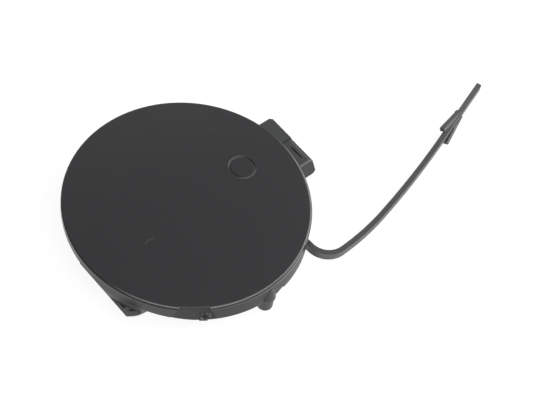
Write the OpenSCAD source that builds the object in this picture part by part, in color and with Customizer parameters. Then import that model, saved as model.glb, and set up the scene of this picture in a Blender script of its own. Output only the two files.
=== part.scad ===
// Round cover for the tow eye hole in a bumper, moulded in one piece with its tether strap.
// The inner face of the plate is the plane z = 0, its middle is the origin, and the show face looks up.
// Depths are measured down from the rim of the show face.

/* [Cover] */
// Outer diameter of the cover
cover_d = 80; // [72:1:92]
// Thickness of the face plate at its rim
plate_t = 2; // [1.6:0.1:2.6]
// Height of the crowned middle above the rim
crown_h = 0.8; // [0.3:0.1:2]
// Radius of the rounded edge of the face
rim_r = 0.6; // [0.4:0.1:1.4]
// Thickness of the skirt wall
skirt_t = 1.8; // [1.2:0.1:2.6]
// Mean depth of the skirt below the rim
skirt_depth = 5.9; // [5.6:0.1:8]
// Tilt of the skirt's lower edge, which follows the bumper
seat_tilt = 4.9; // [0:0.1:5]
// Direction in which the skirt is deepest
seat_dir = 56; // [20:1:90]

/* [Ribs under the face] */
// Thickness of every stiffening rib
rib_t = 1.2; // [0.8:0.1:1.8]
// Height of the ribs
rib_h = 2.2; // [1.5:0.1:3]
// Middle diameter of the ring rib
ring_rib_d = 46; // [36:1:54]
// Number of spokes from the ring rib to the skirt
spokes = 8; // [4:1:12]

/* [Round mark on the face] */
// Diameter of the shallow ring in the face
mark_d = 8.7; // [6:0.1:14]
// Width of its groove
mark_w = 0.6; // [0.3:0.05:0.8]
// Depth of its groove
mark_depth = 0.2; // [0.1:0.05:0.4]
// Distance of the ring from the middle of the cover
mark_y = 22.5; // [12:0.5:26]

/* [Fixed tongue] */
// Width of the tongue
tongue_w = 20.8; // [14:0.1:26]
// Shift of its middle from the cover's middle line
tongue_x = -0.8; // [-3:0.1:3]
// How far its top edge stands out from the skirt
tongue_out = 4.8; // [3.6:0.1:12]
// Depth of its top face below the rim
tongue_top = 2; // [1.4:0.1:3]
// Depth of its lower end below the rim
tongue_depth = 12.2; // [11:0.1:16]
// How far its outer wall flares out on the way down
tongue_flare = 3; // [0:0.1:3.5]
// Thickness of its walls
tongue_t = 1.8; // [1.4:0.1:2.4]
// Radius of its rounded lower lip
tongue_lip_r = 1.5; // [0.6:0.1:1.6]
// Drop of the lower part of its top face
tongue_step = 0.5; // [0.2:0.1:0.8]
// Width of its blunted left corner
tongue_corner = 0.9; // [0.4:0.1:1.6]
// Length of the narrow slot in its top
slot_l = 5.3; // [3:0.1:6]
// Width of that slot
slot_w = 0.5; // [0.4:0.1:1]

/* [Corner ear] */
// Distance of the ear's short side from the middle of the cover
ear_x = 21.1; // [19:0.1:24]
// Depth of its ledge below the rim
ear_top = 6.7; // [6.2:0.1:7]
// Height of the ear below its ledge
ear_h = 1.9; // [1.6:0.1:2.2]
// Lean of its long side, which also trims the skirt
ear_side_lean = 21.8; // [14:0.1:24]
// Height of the upright band along its short side
ear_band = 0.5; // [0.3:0.1:1]
// Angle by which the short side leans in below that band
ear_lean = 38; // [10:1:42]
// Depth of its two pockets
pocket_depth = 1.2; // [0.8:0.1:1.3]

/* [Snap hook] */
// Width of the hook
hook_w = 12; // [8:0.5:14]
// Thickness of its leg
hook_t = 2; // [1.4:0.1:2.6]
// Distance from the middle of the cover to the leg's outer face
hook_y = 34.4; // [32:0.1:35]
// How far the hook's nose stands out
hook_nose = 1.8; // [1:0.1:2.2]
// Depth of its lower end below the rim
hook_depth = 13; // [11:0.1:16]

/* [Locating pegs] */
// Diameter of the pegs
peg_d = 5.2; // [4:0.1:6]
// Diameter of the bosses that carry them
boss_d = 6; // [6:0.1:8]
// Depth of the pegs' ends below the rim
peg_depth = 13; // [11:0.1:16]
// Direction of the peg beside the strap
peg_dir = 2.5; // [-5:0.5:8]
// Distance of that peg's middle in from the skirt's outer face
peg_inset = 1.55; // [0.4:0.05:3]
// Direction of the opposite peg
far_peg_dir = 208; // [190:1:220]
// Distance of the opposite peg's middle in from the skirt's outer face
far_peg_inset = 2.8; // [0.4:0.1:4]

/* [Pry tab] */
// Width of the sloping tab at the rim
tab_top_w = 9.5; // [7:0.1:13]
// Width of the tab at the skirt's lower edge
tab_low_w = 14.7; // [13:0.1:18]
// How far the tab is set back at the rim
tab_inset = 1.2; // [0.8:0.05:1.6]
// Direction of the tab
tab_dir = -35.5; // [-42:0.5:-28]
// Width of the moulding gate's stub on the tab
gate_w = 2.6; // [1.5:0.1:4]
// How far the stub stands out
gate_proud = 0.3; // [0.2:0.05:0.8]

/* [Strap] */
// Thickness of the strap
strap_t = 1.75; // [1.2:0.05:2.4]
// Height of the strap
strap_h = 3; // [2:0.1:4]
// Radius of the bend beside the cover
bend_r = 7.3; // [6:0.1:10]
// Angle of that bend
bend_angle = 88.5; // [80:0.5:96]
// Radius of the sweep after the bend
sweep_r = 99; // [80:1:140]
// Angle of the sweep
sweep_angle = 11.7; // [8:0.1:16]
// Radius of the long gentle curve
curve_r = 380; // [300:1:700]
// Angle of the long gentle curve
curve_angle = 5.8; // [2:0.1:7]
// Length of the straight run from the curve to the barb's point
run_l = 14.1; // [8:0.1:30]
// Length of the tail beyond the barb's point
tail_l = 15.2; // [8:0.1:24]

/* [Barb] */
// Length of the barb's two wings
wing_l = 11.4; // [8:0.1:14]
// Distance between the tips of the wings
wing_span = 7.4; // [6.8:0.1:9]
// Thickness of the wings
wing_t = 1.3; // [0.8:0.1:1.6]
// Twist of the wings about the strap
barb_roll = 24; // [0:1:40]
// Diameter of the small pip beside the barb
pip_d = 1.3; // [0.8:0.1:1.8]

/* [Hidden] */
$fn = 96;
// Steps of the crown between the middle and the rim
crown_steps = 24;
// Steps of the rim's rounding
rim_steps = 8;
// Overlap that joins neighbouring features
bite = 0.6;
// Larger than the whole part, for cutting solids
big = 300;

cover_r = cover_d / 2;
inner_r = cover_r - skirt_t;
crown_span = cover_r - rim_r;
crown_r = (crown_span * crown_span + crown_h * crown_h) / (2 * crown_h);
crown_mid_z = plate_t + crown_h - crown_r;
crown_floor = -2;
seat_z = plate_t - skirt_depth;

tongue_top_z = plate_t - tongue_top;
tongue_end_z = plate_t - tongue_depth;
tongue_reach = cover_r + tongue_out;
tongue_foot_y = tongue_reach + tongue_flare;
tongue_root_y = sqrt(cover_r * cover_r - tongue_w * tongue_w / 4) - bite;
// Middle of the lip's rounding, and the lean of the outer wall that runs into it
lip_y = tongue_foot_y - tongue_lip_r;
lip_z = tongue_end_z + tongue_lip_r;
lip_away = norm([lip_y - tongue_reach, tongue_top_z - lip_z]);
wall_lean = 90 - atan2(tongue_top_z - lip_z, lip_y - tongue_reach) + asin(tongue_lip_r / lip_away);
lip_steps = 10;
// Width and drop of the chamfer along the outer edge of the lower part of the tongue's top
tongue_chamfer = 1.1;
tongue_chamfer_h = 0.4;
// Left end of the lower part of the tongue's top
tongue_step_x = -1;
slot_x = 1.8;
slot_y = cover_r + 0.53 * tongue_out - slot_w / 2;

ear_top_z = plate_t - ear_top;
ear_end_z = ear_top_z - ear_h;
// Left end of the ear, where it starts under the skirt
ear_left_x = -3;
// Height at which the leaning long side starts, just outside the skirt
ear_side_z = -1;
ear_side_y = cover_r + 0.1;
ear_back_y = cover_r - 10;
// Corner and return side of the ear, measured from ear_x and the long side
ear_return = [[-3.4, 0], [-1, 3.4], [-0.3, 5], [0, 6.9]];
ear_corner_extra = 1.4;
// Straight web inside the long side
ear_web_y = cover_r - 3;
// Outline of the pockets, measured in the same way
pocket_outline = [[-8.5, 2.6], [-3.6, 2.6], [-2.6, 3.9], [-1.5, 5.7], [-1.5, 7.6], [-8.5, 7.6]];
// Place and thickness of the rib between the pockets
pocket_rib_x = ear_x - 4.8;
pocket_rib_t = 1.2;

hook_x = 3;
hook_end_z = plate_t - hook_depth;
// Height of the sloping lead-in and of the catch above it
hook_ramp = 2.6;
hook_catch = 0.7;

peg_reach = cover_r - peg_inset;
far_peg_reach = cover_r - far_peg_inset;
peg_end_z = plate_t - peg_depth;
peg_chamfer = 0.2;
// Depth below the rim at which the bosses vanish in the skirt, and how far inside its outer face
boss_top = 1.2;
boss_sink = 0.15;
// Step by which the bosses end below the skirt's edge, so that a guide hole's rim fits round the peg
boss_clear = 0.6;
// Height of the conical shoulder from peg to boss
boss_shoulder = 0.8;

// Places of the gate's stub on the tab
tab_root_x = cover_r - 4;
gate_h = 1.3;
gate_z = -2.6;
gate_y = 3.1;

// Place and heading at which the strap's bend starts, clear of the cover
start_pose = [32.2, 26.1, 3];
// Block inside the skirt that carries the strap, its front face set back from that place
root_l = 5.5;
root_w = 3.6;
root_back = 4.4;
// Facets of the strap's three turns
bend_steps = 24;
sweep_steps = 8;
curve_steps = 6;
bend_pose = turned(start_pose, bend_r, bend_angle);
sweep_pose = turned(bend_pose, sweep_r, sweep_angle);
run_pose = turned(sweep_pose, curve_r, curve_angle);
strap_poses = concat(
    [ahead(start_pose, -root_back - bite), start_pose],
    turn_poses(start_pose, bend_r, bend_angle, bend_steps),
    turn_poses(bend_pose, sweep_r, sweep_angle, sweep_steps),
    turn_poses(sweep_pose, curve_r, curve_angle, curve_steps),
    [ahead(run_pose, run_l + tail_l)]
);
strap_root_dir = atan2(start_pose[1], start_pose[0]);
strap_top_z = seat_height(cover_r, strap_root_dir) + bite / 2;
strap_z = strap_top_z - strap_h;

wing_rise = wing_span / 2 - strap_h / 2;

// Height of the seat plane at a radius and direction
function seat_height(r, dir) = seat_z - r * cos(dir - seat_dir) * tan(seat_tilt);

// Pose, as place and heading, after a left turn from another pose
function turned(pose, radius, angle) = [
    pose[0] + radius * (sin(pose[2] + angle) - sin(pose[2])),
    pose[1] + radius * (cos(pose[2]) - cos(pose[2] + angle)),
    pose[2] + angle
];

// Poses along a left turn, without the first
function turn_poses(pose, radius, angle, steps) =
    [for (i = [1 : steps]) turned(pose, radius, angle * i / steps)];

// Pose straight ahead of another pose
function ahead(pose, distance) = [
    pose[0] + distance * cos(pose[2]),
    pose[1] + distance * sin(pose[2]),
    pose[2]
];

// Point at a distance to the left of a pose
function beside(pose, distance) = [
    pose[0] - distance * sin(pose[2]),
    pose[1] + distance * cos(pose[2])
];

// Height of the crowned face at a radius
function crown_z(r) = crown_mid_z + sqrt(crown_r * crown_r - r * r);

// Places its children at a pose
module at_pose(pose) {
    translate([pose[0], pose[1], 0])
        rotate([0, 0, pose[2]])
            children();
}

// Everything below the tilted plane of the skirt's lower edge
module below_seat() {
    rotate([0, 0, seat_dir])
        translate([0, 0, seat_z])
            rotate([0, seat_tilt, 0])
                translate([-big / 2, -big / 2, -big])
                    cube(big);
}

// Half profile from a floor up to the crown, lowered by a distance
module crown_half(floor_z, drop) {
    step = crown_span / crown_steps;
    polygon(concat(
        [for (i = [0 : crown_steps]) [i * step, crown_z(i * step) - drop]],
        [[crown_span, floor_z], [0, floor_z]]
    ));
}

// Plate with a crowned face and a rounded rim
module face_plate() {
    step = crown_span / crown_steps;
    turn = 90 / rim_steps;
    rotate_extrude($fn = 180)
        polygon(concat(
            [for (i = [0 : crown_steps]) [i * step, crown_z(i * step)]],
            [for (i = [1 : rim_steps])
                [crown_span + rim_r * sin(i * turn), plate_t - rim_r + rim_r * cos(i * turn)]],
            [[cover_r, 0], [0, 0]]
        ));
}

// Shallow ring sunk into the crowned face
module ring_groove() {
    difference() {
        translate([0, mark_y, plate_t - 1])
            difference() {
                cylinder(d = mark_d, h = crown_h + 2);
                translate([0, 0, -1])
                    cylinder(d = mark_d - 2 * mark_w, h = crown_h + 4);
            }
        rotate_extrude($fn = 180)
            crown_half(crown_floor, mark_depth);
    }
}

// Corners of an outline that is measured from ear_x and the ear's long side
function ear_points(outline) = [for (p = outline) [ear_x + p[0], p[1] - ear_side_y]];

// Outline of the ear, seen from above
module ear_plan() {
    corner = ear_points([[ear_return[0][0] - ear_corner_extra, -2]]);
    polygon(concat(
        [[ear_left_x, -ear_side_y - 2]],
        corner,
        ear_points([for (i = [1 : len(ear_return) - 1]) ear_return[i]]),
        [[ear_x, -ear_back_y], [ear_left_x, -ear_back_y]]
    ));
}

// Block of the ear from its underside up to a height
module ear_block(top_z) {
    translate([0, 0, ear_end_z])
        linear_extrude(top_z - ear_end_z)
            ear_plan();
}

// Everything outside a plane that leans inward on its way down from an edge
module lean_cut(edge_x, edge_y, edge_z, heading, lean, behind) {
    translate([edge_x, edge_y, edge_z])
        rotate([0, 0, heading])
            rotate([lean, 0, 0])
                translate([-behind, -big, -big])
                    cube(big);
}

// One part of the ear's return side below its upright band
module return_cut(i) {
    ends = ear_points([ear_return[i], ear_return[i + 1]]);
    heading = atan2(ends[1][1] - ends[0][1], ends[1][0] - ends[0][0]);
    lean_cut(ends[0][0], ends[0][1], ear_top_z - ear_band, heading, ear_lean, big / 2);
}

// Two pockets outside the line of the skirt, with a rib between them
module ear_pockets() {
    pocket_z = ear_top_z - pocket_depth;
    difference() {
        translate([0, 0, pocket_z])
            linear_extrude(pocket_depth + 1)
                polygon(ear_points(pocket_outline));
        translate([0, 0, pocket_z - 1])
            cylinder(r = cover_r, h = pocket_depth + 3, $fn = 180);
        translate([pocket_rib_x, -cover_r, pocket_z - 1])
            cube([pocket_rib_t, ear_back_y, pocket_depth + 3]);
    }
}

// Wall round the cover, down to the seat plane, with the corner ear below it
module skirt() {
    difference() {
        union() {
            difference() {
                translate([0, 0, -big / 10])
                    cylinder(r = cover_r, h = big / 10 + plate_t - rim_r, $fn = 180);
                difference() {
                    below_seat();
                    ear_block(0);
                }
            }
            ear_block(ear_top_z);
        }
        // Space inside the wall, except for the web behind the ear's long side
        difference() {
            translate([0, 0, -big / 10 - 1])
                cylinder(r = inner_r, h = big / 10 + 1, $fn = 180);
            translate([ear_left_x, -ear_web_y - big, -big / 2])
                cube([big, big, big]);
        }
        // Long side, which starts at the ear's left end
        lean_cut(ear_left_x, -ear_side_y, ear_side_z, 0, ear_side_lean, 0);
        return_cut(0);
        return_cut(1);
        return_cut(2);
        ear_pockets();
    }
}

// Ring rib and spokes that stiffen the plate
module stiffening_ribs() {
    ring_r = ring_rib_d / 2;
    difference() {
        union() {
            translate([0, 0, -rib_h])
                difference() {
                    cylinder(r = ring_r + rib_t / 2, h = rib_h + bite);
                    translate([0, 0, -1])
                        cylinder(r = ring_r - rib_t / 2, h = rib_h + 1);
                }
            for (i = [0 : spokes - 1])
                rotate([0, 0, (i + 0.5) * 360 / spokes])
                    translate([ring_r, -rib_t / 2, -rib_h])
                        cube([inner_r - ring_r + bite, rib_t, rib_h + bite]);
        }
        below_seat();
    }
}

// Section of the tongue: top web, flared outer wall and rounded lip
module tongue_section() {
    turn = (wall_lean + 90) / lip_steps;
    polygon(concat(
        [[tongue_root_y, tongue_top_z], [tongue_reach, tongue_top_z]],
        [for (i = [0 : lip_steps]) [
            lip_y + tongue_lip_r * cos(wall_lean - i * turn),
            lip_z + tongue_lip_r * sin(wall_lean - i * turn)
        ]],
        [[tongue_root_y, tongue_end_z]]
    ));
}

// Space inside the tongue, open below
module tongue_core() {
    core_top = tongue_top_z - tongue_t - tongue_step;
    core_out = tongue_reach - tongue_t + tan(wall_lean) * (tongue_top_z - core_top);
    core_low = tongue_foot_y - tongue_t - tongue_lip_r / 2;
    polygon([
        [tongue_root_y, core_top],
        [core_out, core_top],
        [core_low, tongue_end_z - 1],
        [tongue_root_y, tongue_end_z - 1]
    ]);
}

// Tongue that slides behind the bumper skin
module tongue() {
    half_w = tongue_w / 2;
    bay_w = half_w - tongue_t - rib_t / 2;
    left_x = tongue_x - half_w;
    difference() {
        translate([left_x, 0, 0])
            rotate([90, 0, 90])
                linear_extrude(tongue_w)
                    tongue_section();
        // Two bays with a rib between them, outside the line of the skirt
        difference() {
            for (side = [-1, 1])
                translate([tongue_x + side * (rib_t + bay_w) / 2 - bay_w / 2, 0, 0])
                    rotate([90, 0, 90])
                        linear_extrude(bay_w)
                            tongue_core();
            translate([0, 0, tongue_end_z - 2])
                cylinder(r = cover_r, h = tongue_depth + 2, $fn = 180);
        }
        translate([0, 0, tongue_end_z - 2])
            cylinder(r = inner_r, h = tongue_depth + 2, $fn = 180);
        // Lower part of the top face
        translate([tongue_step_x, cover_r - 1, tongue_top_z - tongue_step])
            cube([tongue_w, tongue_out + 6, 5]);
        translate([tongue_step_x, tongue_reach, tongue_top_z - tongue_step])
            rotate([90, 0, 90])
                linear_extrude(tongue_w)
                    polygon([
                        [-tongue_chamfer, 0],
                        [tongue_chamfer, -2 * tongue_chamfer_h],
                        [tongue_chamfer, 5],
                        [-tongue_chamfer, 5]
                    ]);
        // Blunted left corner, along the flared wall
        translate([left_x, tongue_reach - tongue_corner, tongue_top_z])
            rotate([wall_lean, 0, 0])
                rotate([0, 0, 45])
                    translate([-1, 0, -2 * tongue_depth])
                        cube([tongue_w, tongue_w, 3 * tongue_depth]);
        // Narrow slot
        translate([slot_x, slot_y, tongue_top_z - tongue_t - tongue_step - 1])
            cube([slot_l, slot_w, tongue_t + 3]);
    }
}

// Flexible hook that snaps behind the bumper skin
module snap_hook() {
    nose_y = -hook_y - hook_nose;
    ramp_z = hook_end_z + hook_ramp;
    leg_y = -hook_y + hook_t;
    translate([hook_x, 0, 0])
        rotate([90, 0, 90])
            linear_extrude(hook_w)
                polygon([
                    [leg_y, bite],
                    [-hook_y, bite],
                    [-hook_y, ramp_z + hook_catch],
                    [nose_y, ramp_z],
                    [-hook_y - bite / 2, hook_end_z],
                    [leg_y + bite / 2, hook_end_z]
                ]);
    // Two gussets behind the leg
    for (x = [hook_x, hook_x + hook_w - rib_t])
        translate([x, 0, 0])
            rotate([90, 0, 90])
                linear_extrude(rib_t)
                    polygon([
                        [leg_y - bite, bite],
                        [leg_y + 3, bite],
                        [leg_y - bite, hook_end_z / 2]
                    ]);
}

// Round peg on a boss that tapers upward into the skirt and ends clear of skirt and ribs
module peg(dir, reach) {
    boss_end_z = min(seat_height(reach, dir) - boss_clear, -rib_h - boss_clear / 2);
    boss_r = boss_d / 2;
    flush_r = cover_r - reach - boss_sink;
    rotate([0, 0, dir])
        translate([reach, 0, 0])
            rotate_extrude()
                polygon([
                    [0, peg_end_z],
                    [peg_d / 2 - peg_chamfer, peg_end_z],
                    [peg_d / 2, peg_end_z + peg_chamfer],
                    [peg_d / 2, boss_end_z],
                    [boss_r, boss_end_z + boss_shoulder],
                    [flush_r, plate_t - boss_top],
                    [0, plate_t - boss_top]
                ]);
}

// Sloping face that eases a blade under the rim
module tab_cut() {
    tab_low_z = seat_height(cover_r, tab_dir);
    slope = tab_inset / (plate_t - tab_low_z);
    over = crown_h + 1;
    difference() {
        rotate([0, 0, tab_dir])
            translate([tab_root_x, 0, 0])
                rotate([90, 0, 90])
                    linear_extrude(cover_r)
                        polygon([
                            [-tab_top_w / 2, plate_t + over],
                            [-tab_top_w / 2, plate_t],
                            [-tab_low_w / 2, tab_low_z],
                            [tab_low_w / 2, tab_low_z],
                            [tab_top_w / 2, plate_t],
                            [tab_top_w / 2, plate_t + over]
                        ]);
        rotate_extrude($fn = 180)
            polygon([
                [0, tab_low_z - 2],
                [cover_r + 2 * slope, tab_low_z - 2],
                [cover_r - tab_inset - over * slope, plate_t + over],
                [0, plate_t + over]
            ]);
    }
}

// Stub of the moulding gate on the tab
module gate_stub() {
    difference() {
        rotate([0, 0, tab_dir])
            translate([tab_root_x, gate_y - gate_w / 2, gate_z - gate_h])
                cube([cover_r + gate_proud - tab_root_x, gate_w, gate_h]);
        translate([0, 0, -big / 10 - 1])
            cylinder(r = inner_r, h = big / 10 + 1, $fn = 180);
        below_seat();
    }
}

// Outline of the whole strap, seen from above
module strap_outline() {
    last = len(strap_poses) - 1;
    polygon(concat(
        [for (pose = strap_poses) beside(pose, strap_t / 2)],
        [for (i = [last : -1 : 0]) beside(strap_poses[i], -strap_t / 2)]
    ));
}

// Root of the strap, from the plate down to the skirt's lower edge
module strap_root() {
    at_pose(start_pose)
        translate([-root_back - root_l, -root_w / 2, strap_z])
            cube([root_l, root_w, bite - strap_z]);
}

// One wing of the barb, in the plane of its flat side
module wing() {
    slope = atan2(wing_rise, wing_l);
    half_h = strap_h / 2;
    tip = [-wing_l, half_h + wing_rise];
    inner_tip = tip + wing_t * [-sin(slope), -cos(slope)];
    polygon([
        [bite, half_h - bite],
        [bite, half_h],
        [0, half_h],
        tip,
        inner_tip,
        [-wing_l * 0.52, half_h - bite / 2],
        [-wing_l * 0.52, half_h - bite]
    ]);
}

// Barb that holds the strap in its hole in the bumper
module barb() {
    translate([0, 0, strap_z + strap_h / 2])
        rotate([-barb_roll, 0, 0])
            translate([0, strap_t / 2, 0])
                rotate([90, 0, 0])
                    linear_extrude(strap_t) {
                        wing();
                        mirror([0, 1])
                            wing();
                    }
    // Pip on the left side of the strap
    translate([-pip_d / 2, 0, strap_z + strap_h - pip_d / 2])
        rotate([-90, 0, 0])
            cylinder(d = pip_d, h = strap_t / 2 + pip_d / 2, $fn = 32);
}

module strap() {
    translate([0, 0, strap_z])
        linear_extrude(strap_h)
            strap_outline();
    at_pose(ahead(run_pose, run_l))
        barb();
    strap_root();
}

module tow_hook_cover() {
    color([0.17, 0.17, 0.18]) {
        difference() {
            union() {
                face_plate();
                skirt();
            }
            tab_cut();
            ring_groove();
        }
        gate_stub();
        stiffening_ribs();
        tongue();
        snap_hook();
        peg(peg_dir, peg_reach);
        peg(far_peg_dir, far_peg_reach);
        strap();
    }
}

tow_hook_cover();
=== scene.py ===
"""Black moulded cover for the tow eye hole in a bumper, lying face up on a white studio floor."""
import math

import bpy
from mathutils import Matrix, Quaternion, Vector


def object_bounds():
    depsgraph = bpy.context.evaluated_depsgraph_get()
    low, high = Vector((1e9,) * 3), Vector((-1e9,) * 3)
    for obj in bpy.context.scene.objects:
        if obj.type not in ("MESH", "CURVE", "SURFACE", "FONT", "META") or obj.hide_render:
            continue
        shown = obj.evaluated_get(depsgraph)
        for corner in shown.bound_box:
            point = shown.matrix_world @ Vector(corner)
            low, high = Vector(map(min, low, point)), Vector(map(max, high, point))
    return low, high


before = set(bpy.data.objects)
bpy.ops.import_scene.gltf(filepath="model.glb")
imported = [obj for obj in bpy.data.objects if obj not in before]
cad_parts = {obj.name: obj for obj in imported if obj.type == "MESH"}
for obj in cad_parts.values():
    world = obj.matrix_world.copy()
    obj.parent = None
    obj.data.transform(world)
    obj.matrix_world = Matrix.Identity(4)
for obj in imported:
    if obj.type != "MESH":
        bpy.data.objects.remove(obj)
cad_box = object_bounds()

MM = 0.001
PLASTIC_NODE = "tow_hook_cover"

# Camera, fitted to the outline of the cover in the photograph
CAMERA_AT = Vector((214.3, -212.1, 437.0)) * MM
CAMERA_AIM = Vector((14.3, 20.9, 2.0)) * MM
CAMERA_ROLL = 11.2
CAMERA_LENS = 112.6
SENSOR_WIDTH = 36.0
CLIP_NEAR, CLIP_FAR = 0.01, 20

# White floor: its width, its brightness in the picture, how much shadow it keeps, and its true grey
FLOOR_SIZE = 12.0
FLOOR_GLOW = 0.92
FLOOR_SHADE = 0.14
FLOOR_GREY = 0.8

# Studio: white round the horizon, and a greyer level above
WHITE_TO, SKY_FROM = 0.02, 0.20
SKY_LEVEL = 0.24

# Softboxes: direction in plan and height in degrees, distance, width and height, and power
SOFTBOXES = {
    "right": (76, 34, 1.1, (1.0, 0.35), 8.5),
    "front_right": (5, 52, 1.1, (0.8, 0.3), 4.5),
    "overhead": (-30, 78, 1.2, (0.6, 0.6), 3.0),
    "back": (158, 34, 1.1, (1.0, 0.25), 1.5),
}

# Show face: its lowest height, and how far up a surface must face to belong to it
FACE_Z = (1.80 * MM, 1.95 * MM)
FACE_UP = (0.80, 0.97)

# Rounded rim, painted darker as painted shade for the dark reflection on it, and a painted highlight
# line along the side of it that one direction names
RIM_R = 38.9 * MM
RIM_Z = (0.3 * MM, 0.7 * MM)
LINE_IN_R = (39.1 * MM, 39.35 * MM)
LINE_OUT_R = (39.6 * MM, 39.8 * MM)
LINE_WAY = math.radians(10)
LINE_SPAN = (0.0, 0.45)

# Walls that reflect less, on the side of the painted highlight line
DULL_SPAN = (0.55, 0.9)
DULL_LOW_Z = -5 * MM

# Strap: beyond a radius, beside the skirt, its far end, painted lighter as a painted sheen, and how
# far a flank faces +X, that flank painted lighter as its lit side
STRAP_FAR_R = 50 * MM
STRAP_NEAR_X = 29 * MM
STRAP_NEAR_R = 41.2 * MM
STRAP_TOP_Z = -6.5 * MM
STRAP_END_Y = (85 * MM, 102 * MM)
FLANK_X = (0.3, 0.6)

# Tongue: where it starts and ends, and the edge between its top and its end wall; the top is painted
# lighter as lit, the end wall painted darker as shaded, and the edge carries a painted highlight
TONGUE_Y = 39.5 * MM
TONGUE_X = 15 * MM
TONGUE_EDGE_X = 9.4 * MM
TONGUE_EDGE_HALF = (0.12 * MM, 0.42 * MM)
TONGUE_EDGE_Z = -1.3 * MM
STEEP = 0.5

# Boss above the peg beside the strap, painted lighter where it faces slightly up, as painted light
BOSS_X = 30 * MM
BOSS_Y = (-1.9 * MM, 5.3 * MM)
BOSS_R = 40.05 * MM
BOSS_UP = (0.02, 0.15)

# Corner ear below the skirt, painted lighter below a height to lift the shade under the skirt, as
# painted light
EAR_LEFT_X = (-4 * MM, 0.0)
EAR_RIGHT_X = 23 * MM
EAR_Y = -33 * MM
EAR_TOP_Z = (-3.1 * MM, -1.9 * MM)

# Ring mark in the face, with a painted highlight strongest on the sides that lie along X
RING_AT = (0.0, 22.5 * MM)
RING_R = 4.35 * MM
RING_HALF = 0.5 * MM
RING_SIDES = (0.35, 0.95)

# Bent scratch on the face: its middle, half width, the fading of its ends, and its bend
SCRATCH_AT = (4.6 * MM, -19.2 * MM)
SCRATCH_HALF = 0.16 * MM
SCRATCH_ENDS = (1.1 * MM, 2.2 * MM)
SCRATCH_BEND = 160.0

# Torn moulding gate: direction of its tab, stretch across the tab and in height, and how far out
TAB_WAY = math.radians(-35.5)
GATE_ACROSS = (0.8 * MM, 5.6 * MM)
GATE_Z = (-3.9 * MM, -0.9 * MM)
GATE_FADE = 0.5 * MM
GATE_OUT = 38.6 * MM
TORN_SCALE, TORN_DETAIL, TORN_ROUGH = 1100.0, 3.0, 0.6
TORN_BRIGHT = (0.50, 0.66)
TORN_DEPTH, TORN_STRENGTH = 0.5 * MM, 0.8

# Base colours of the places
TONES = {
    "side": (0.043, 0.044, 0.046, 1),
    "strap": (0.060, 0.060, 0.062, 1),
    # Painted light: the far end of the strap lighter, standing in for its sheen
    "strap_end": (0.085, 0.085, 0.084, 1),
    # Painted light: the strap's flank that faces +X lighter, as its lit side
    "flank": (0.16, 0.16, 0.158, 1),
    # Painted light: the ear lighter, lifting the shade under the skirt
    "ear": (0.15, 0.15, 0.15, 1),
    # Painted light: the boss lighter where it faces slightly up
    "boss": (0.085, 0.085, 0.086, 1),
    # Painted light: the tongue's top lighter, as lit
    "tongue": (0.049, 0.051, 0.052, 1),
    # Painted shade: the tongue's end wall darker, as shaded
    "tongue_end": (0.016, 0.016, 0.017, 1),
    # Painted highlight: a light band along the tongue's top edge
    "tongue_edge": (0.16, 0.16, 0.16, 1),
    # Painted shade: the rounded rim darker, standing in for the dark reflection along it
    "rim": (0.012, 0.012, 0.013, 1),
    "face": (0.0275, 0.028, 0.030, 1),
}

# Marks over them, each with its share and colour
MARKS = {
    "clouds": (0.35, (0.014, 0.014, 0.016, 1)),
    "dust": (0.12, (0.16, 0.16, 0.16, 1)),
    "scratch": (0.55, (0.16, 0.16, 0.16, 1)),
    # Painted highlight: a light line along the rim on one side
    "line": (0.8, (0.20, 0.20, 0.205, 1)),
    # Painted highlight: the ring mark lighter on its sides along X
    "ring": (0.85, (0.12, 0.123, 0.123, 1)),
    "torn": (0.8, (0.26, 0.26, 0.25, 1)),
}
CLOUD_SCALE, CLOUD_DETAIL = 90.0, 3.0
DUST_SCALE, DUST_DETAIL, DUST_ROUGH = 1500.0, 2.0, 0.6
DUST_LEVEL = (0.60, 0.78)

# Roughness of the places, and what clouds and scratch add to it
SIDE_ROUGH, STRAP_ROUGH, RIM_ROUGH, FACE_ROUGH = 0.42, 0.55, 0.22, 0.34
CLOUD_ROUGHENS, SCRATCH_ROUGHENS = 0.10, 0.25

# Reflection of plain and of dull plastic
PLASTIC_IOR = 1.5
PLAIN_SPECULAR, DULL_SPECULAR = 0.5, 0.2

# Softened edges, slight waviness and fine grain: scale, depth and strength
EDGE_R = 0.16 * MM
EDGE_SAMPLES = 4
WAVE_SCALE, WAVE_DETAIL, WAVE_DEPTH, WAVE_STRENGTH = 45.0, 1.0, 0.10 * MM, 0.35
GRAIN_SCALE, GRAIN_DETAIL, GRAIN_DEPTH, GRAIN_STRENGTH = 2600.0, 2.0, 0.02 * MM, 0.35


def place(name, data):
    """A new object of the scene."""
    made = bpy.data.objects.new(name, data)
    bpy.context.scene.collection.objects.link(made)
    return made


def add_camera():
    camera = bpy.data.cameras.new("camera")
    camera.lens = CAMERA_LENS
    camera.sensor_width = SENSOR_WIDTH
    camera.clip_start = CLIP_NEAR
    camera.clip_end = CLIP_FAR
    rig = place("camera", camera)
    rig.location = CAMERA_AT
    rig.rotation_mode = "QUATERNION"
    level = (CAMERA_AIM - CAMERA_AT).to_track_quat("-Z", "Y")
    rig.rotation_quaternion = level @ Quaternion((0, 0, 1), math.radians(CAMERA_ROLL))
    bpy.context.scene.camera = rig


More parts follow.
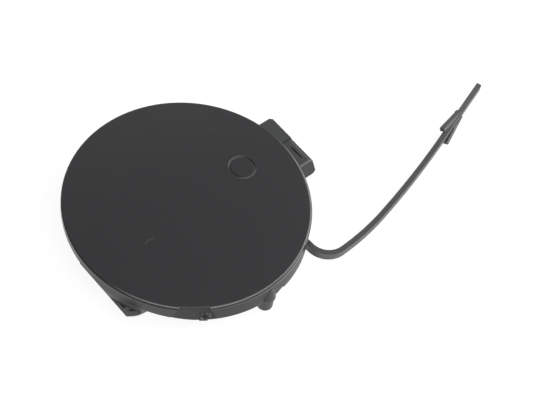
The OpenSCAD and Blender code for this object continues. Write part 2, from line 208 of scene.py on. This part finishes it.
class Nodes:
    """Short calls that add shader nodes to one tree."""

    def __init__(self, tree):
        self.tree = tree
        tree.nodes.clear()

    def add(self, kind, **settings):
        node = self.tree.nodes.new(kind)
        for key, value in settings.items():
            setattr(node, key, value)
        return node

    def feed(self, socket, value):
        if isinstance(value, bpy.types.NodeSocket):
            self.tree.links.new(value, socket)
        else:
            socket.default_value = value

    def finish(self, kind, surface):
        self.feed(self.add(kind).inputs["Surface"], surface)

    def split(self, vector):
        node = self.add("ShaderNodeSeparateXYZ")
        self.feed(node.inputs[0], vector)
        return node.outputs

    def math(self, operation, *values):
        node = self.add("ShaderNodeMath", operation=operation)
        for socket, value in zip(node.inputs, values):
            self.feed(socket, value)
        return node.outputs[0]

    def all_of(self, mask, *others):
        """Where several masks meet."""
        for other in others:
            mask = self.math("MULTIPLY", mask, other)
        return mask

    def over(self, value, limit):
        return self.math("GREATER_THAN", value, limit)

    def under(self, value, limit):
        return self.math("LESS_THAN", value, limit)

    def outside(self, mask):
        return self.math("SUBTRACT", 1.0, mask)

    def away(self, value, middle):
        """Distance of value from a middle, without its sign."""
        return self.math("ABSOLUTE", self.math("SUBTRACT", value, middle))

    def length(self, x, y):
        squares = self.math("ADD", self.math("POWER", x, 2.0), self.math("POWER", y, 2.0))
        return self.math("SQRT", squares)

    def along(self, x, y, angle):
        """How far a place in plan lies in one direction."""
        by_x = self.math("MULTIPLY", x, math.cos(angle))
        by_y = self.math("MULTIPLY", y, math.sin(angle))
        return self.math("ADD", by_x, by_y)

    def ramp(self, value, low, high, to_low=0.0, to_high=1.0):
        """A smooth step of value from low to high."""
        node = self.add("ShaderNodeMapRange", interpolation_type="SMOOTHSTEP")
        for name, setting in (
            ("Value", value),
            ("From Min", low),
            ("From Max", high),
            ("To Min", to_low),
            ("To Max", to_high),
        ):
            self.feed(node.inputs[name], setting)
        return node.outputs["Result"]

    def fall(self, value, low, high):
        """A smooth step down from 1 at low to 0 at high."""
        return self.ramp(value, low, high, 1.0, 0.0)

    def noise(self, at, scale, detail, roughness=0.5):
        node = self.add("ShaderNodeTexNoise")
        self.feed(node.inputs["Vector"], at)
        node.inputs["Scale"].default_value = scale
        node.inputs["Detail"].default_value = detail
        node.inputs["Roughness"].default_value = roughness
        return node.outputs["Fac"]

    def blend(self, share, first, second):
        node = self.add("ShaderNodeMix", data_type="FLOAT")
        self.feed(node.inputs[0], share)
        self.feed(node.inputs[2], first)
        self.feed(node.inputs[3], second)
        return node.outputs[0]

    def blend_colour(self, share, first, second):
        node = self.add("ShaderNodeMix", data_type="RGBA")
        self.feed(node.inputs[0], share)
        self.feed(node.inputs[6], first)
        self.feed(node.inputs[7], second)
        return node.outputs[2]

    def bump(self, height, distance, strength, normal):
        node = self.add("ShaderNodeBump")
        self.feed(node.inputs["Height"], height)
        node.inputs["Distance"].default_value = distance
        node.inputs["Strength"].default_value = strength
        self.feed(node.inputs["Normal"], normal)
        return node.outputs["Normal"]


def new_material(name):
    material = bpy.data.materials.new(name)
    material.use_nodes = True
    return material, Nodes(material.node_tree)


class Cover:
    """Places on the cover as masks, from a point's own position and the way its surface faces."""

    def __init__(self, n):
        self.n = n
        where = n.add("ShaderNodeTexCoord")
        self.at = where.outputs["Object"]
        self.x, self.y, self.z = n.split(self.at)
        self.radius = n.length(self.x, self.y)
        self.facing_x, _, self.facing_z = n.split(where.outputs["Normal"])
        toward = n.along(self.x, self.y, LINE_WAY)
        self.toward = n.math("DIVIDE", toward, self.radius)
        self.face = n.all_of(n.ramp(self.z, *FACE_Z), n.ramp(self.facing_z, *FACE_UP))
        self.strap_far = n.over(self.radius, STRAP_FAR_R)
        self.strap = self.whole_strap()
        self.by_tongue = n.all_of(
            n.over(self.y, TONGUE_Y), n.under(self.x, TONGUE_X), n.outside(self.strap_far)
        )
        self.tongue_end = n.all_of(self.by_tongue, n.over(self.facing_x, STEEP))

    def whole_strap(self):
        n = self.n
        near = n.all_of(
            n.over(self.x, STRAP_NEAR_X),
            n.under(self.z, STRAP_TOP_Z),
            n.over(self.radius, STRAP_NEAR_R),
        )
        return n.math("MAXIMUM", self.strap_far, near)

    def strap_end(self):
        return self.n.ramp(self.y, *STRAP_END_Y)

    def flank(self):
        return self.n.all_of(self.strap, self.n.ramp(self.facing_x, *FLANK_X))

    def rim(self):
        n = self.n
        return n.all_of(n.over(self.radius, RIM_R), n.ramp(self.z, *RIM_Z), n.outside(self.face))

    def line(self):
        n = self.n
        return n.all_of(
            n.ramp(self.toward, *LINE_SPAN),
            n.ramp(self.radius, *LINE_IN_R),
            n.fall(self.radius, *LINE_OUT_R),
            n.over(self.z, RIM_Z[1]),
        )

    def dull(self):
        n = self.n
        walls = n.all_of(
            n.under(self.z, RIM_Z[1]),
            n.ramp(self.toward, *DULL_SPAN),
            n.over(self.z, DULL_LOW_Z),
            n.outside(self.strap),
        )
        return n.math("MAXIMUM", self.tongue_end, walls)

    def tongue(self):
        return self.n.all_of(self.by_tongue, self.n.over(self.facing_z, STEEP))

    def tongue_edge(self):
        n = self.n
        band = n.fall(n.away(self.x, TONGUE_EDGE_X), *TONGUE_EDGE_HALF)
        return n.all_of(self.by_tongue, band, n.over(self.z, TONGUE_EDGE_Z))

    def boss(self):
        n = self.n
        return n.all_of(
            n.over(self.x, BOSS_X),
            n.over(self.radius, BOSS_R),
            n.over(self.y, BOSS_Y[0]),
            n.under(self.y, BOSS_Y[1]),
            n.ramp(self.facing_z, *BOSS_UP),
        )

    def ear(self):
        n = self.n
        return n.all_of(
            n.ramp(self.x, *EAR_LEFT_X),
            n.under(self.x, EAR_RIGHT_X),
            n.under(self.y, EAR_Y),
            n.fall(self.z, *EAR_TOP_Z),
        )

    def ring(self):
        n = self.n
        x = n.math("SUBTRACT", self.x, RING_AT[0])
        y = n.math("SUBTRACT", self.y, RING_AT[1])
        edge = n.fall(n.away(n.length(x, y), RING_R), 0.0, RING_HALF)
        side = n.math("DIVIDE", n.math("ABSOLUTE", x), RING_R)
        return n.all_of(edge, self.face, n.ramp(side, *RING_SIDES))

    def scratch(self):
        n = self.n
        up = n.math("SUBTRACT", self.y, SCRATCH_AT[1])
        bend = n.math("MULTIPLY", n.math("POWER", up, 2.0), SCRATCH_BEND)
        across = n.away(self.x, n.math("ADD", bend, SCRATCH_AT[0]))
        ends = n.fall(n.math("ABSOLUTE", up), *SCRATCH_ENDS)
        return n.all_of(n.fall(across, 0.0, SCRATCH_HALF), ends, self.face)

    def gate(self):
        n = self.n
        mask = n.over(n.along(self.x, self.y, TAB_WAY), GATE_OUT)
        across = n.along(self.x, self.y, TAB_WAY + math.pi / 2)
        for value, (low, high) in ((across, GATE_ACROSS), (self.z, GATE_Z)):
            rise = n.ramp(value, low, low + GATE_FADE)
            mask = n.all_of(mask, rise, n.fall(value, high - GATE_FADE, high))
        return mask


def plastic():
    """Black moulded plastic: a satin face, duller sides and a paler strap."""
    material, n = new_material("black_moulding")
    cover = Cover(n)
    gate = cover.gate()
    scratch = cover.scratch()
    rim = cover.rim()
    torn = n.noise(cover.at, TORN_SCALE, TORN_DETAIL, TORN_ROUGH)
    clouds = n.noise(cover.at, CLOUD_SCALE, CLOUD_DETAIL)
    dust = n.ramp(n.noise(cover.at, DUST_SCALE, DUST_DETAIL, DUST_ROUGH), *DUST_LEVEL)

    # Colours of the places, then the marks
    tone = TONES["side"]
    for name, mask in (
        ("strap", cover.strap),
        ("strap_end", cover.strap_end()),
        ("flank", cover.flank()),
        ("ear", cover.ear()),
        ("boss", cover.boss()),
        ("tongue", cover.tongue()),
        ("tongue_end", cover.tongue_end),
        ("tongue_edge", cover.tongue_edge()),
        ("rim", rim),
        ("face", cover.face),
    ):
        tone = n.blend_colour(mask, tone, TONES[name])
    for name, mask in (
        ("clouds", clouds),
        ("dust", dust),
        ("scratch", scratch),
        ("line", cover.line()),
        ("ring", cover.ring()),
        ("torn", n.all_of(gate, n.ramp(torn, *TORN_BRIGHT))),
    ):
        share, colour = MARKS[name]
        tone = n.blend_colour(n.math("MULTIPLY", mask, share), tone, colour)

    # Roughness
    rough = n.blend(cover.strap, SIDE_ROUGH, STRAP_ROUGH)
    rough = n.blend(rim, rough, RIM_ROUGH)
    rough = n.blend(cover.face, rough, FACE_ROUGH)
    clouded = n.math("MULTIPLY", n.math("SUBTRACT", clouds, 0.5), CLOUD_ROUGHENS)
    rough = n.math("ADD", rough, clouded)
    rough = n.math("ADD", rough, n.math("MULTIPLY", scratch, SCRATCH_ROUGHENS))

    # Softened edges, waviness, grain and the torn gate
    edges = n.add("ShaderNodeBevel", samples=EDGE_SAMPLES)
    edges.inputs["Radius"].default_value = EDGE_R
    waves = n.noise(cover.at, WAVE_SCALE, WAVE_DETAIL)
    normal = n.bump(waves, WAVE_DEPTH, WAVE_STRENGTH, edges.outputs["Normal"])
    grain = n.noise(cover.at, GRAIN_SCALE, GRAIN_DETAIL)
    normal = n.bump(grain, GRAIN_DEPTH, GRAIN_STRENGTH, normal)
    normal = n.bump(n.all_of(torn, gate), TORN_DEPTH, TORN_STRENGTH, normal)

    shader = n.add("ShaderNodeBsdfPrincipled")
    n.feed(shader.inputs["Base Color"], tone)
    n.feed(shader.inputs["Roughness"], rough)
    shader.inputs["IOR"].default_value = PLASTIC_IOR
    n.feed(shader.inputs["Specular IOR Level"], n.blend(cover.dull(), PLAIN_SPECULAR, DULL_SPECULAR))
    n.feed(shader.inputs["Normal"], normal)
    n.finish("ShaderNodeOutputMaterial", shader.outputs[0])
    return material


def floor_material():
    """White where it is seen or reflected, and a plain grey where it only lights the cover."""
    material, n = new_material("white_floor")
    path = n.add("ShaderNodeLightPath")
    seen = n.math("MAXIMUM", path.outputs["Is Camera Ray"], path.outputs["Is Glossy Ray"])
    seen = n.math("MAXIMUM", seen, path.outputs["Is Transmission Ray"])
    lit = n.add("ShaderNodeBsdfDiffuse")
    lit.inputs["Color"].default_value = (FLOOR_GREY, FLOOR_GREY, FLOOR_GREY, 1)
    shade = n.add("ShaderNodeBsdfDiffuse")
    shade.inputs["Color"].default_value = (FLOOR_SHADE, FLOOR_SHADE, FLOOR_SHADE, 1)
    glow = n.add("ShaderNodeEmission")
    glow.inputs["Strength"].default_value = FLOOR_GLOW
    both = n.add("ShaderNodeAddShader")
    n.feed(both.inputs[0], glow.outputs[0])
    n.feed(both.inputs[1], shade.outputs[0])
    mix = n.add("ShaderNodeMixShader")
    n.feed(mix.inputs[0], seen)
    n.feed(mix.inputs[1], lit.outputs[0])
    n.feed(mix.inputs[2], both.outputs[0])
    n.finish("ShaderNodeOutputMaterial", mix.outputs[0])
    return material


def add_floor():
    """White floor that shows white and keeps the cover's shadow."""
    low = cad_box[0].z
    half = FLOOR_SIZE / 2
    mesh = bpy.data.meshes.new("floor")
    corners = [(-half, -half, low), (half, -half, low), (half, half, low), (-half, half, low)]
    mesh.from_pydata(corners, [], [(0, 1, 2, 3)])
    mesh.materials.append(floor_material())
    floor = place("floor", mesh)


def add_world():
    """A studio, white round the horizon and grey above."""
    world = bpy.data.worlds.new("studio")
    bpy.context.scene.world = world
    world.use_nodes = True
    n = Nodes(world.node_tree)
    way = n.split(n.add("ShaderNodeTexCoord").outputs["Generated"])
    sky = n.add("ShaderNodeBackground")
    n.feed(sky.inputs["Strength"], n.ramp(way["Z"], WHITE_TO, SKY_FROM, 1.0, SKY_LEVEL))
    n.finish("ShaderNodeOutputWorld", sky.outputs[0])


def add_softbox(name, azimuth, elevation, distance, size, power):
    """Area lamp, aimed at the cover. Azimuth is in plan, anticlockwise from +X."""
    lamp = bpy.data.lights.new(name, "AREA")
    lamp.shape = "RECTANGLE"
    lamp.size, lamp.size_y = size
    lamp.energy = power
    rig = place(name, lamp)
    a, e = math.radians(azimuth), math.radians(elevation)
    way = Vector((math.cos(a) * math.cos(e), math.sin(a) * math.cos(e), math.sin(e)))
    rig.location = CAMERA_AIM + way * distance
    rig.rotation_mode = "QUATERNION"
    rig.rotation_quaternion = (-way).to_track_quat("-Z", "Y")


def dress():
    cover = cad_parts[PLASTIC_NODE]
    cover.data.materials.clear()
    cover.data.materials.append(plastic())


bpy.context.scene.view_settings.view_transform = "Standard"
add_camera()
dress()
add_floor()
add_world()
for box_name, settings in SOFTBOXES.items():
    add_softbox(box_name, *settings)
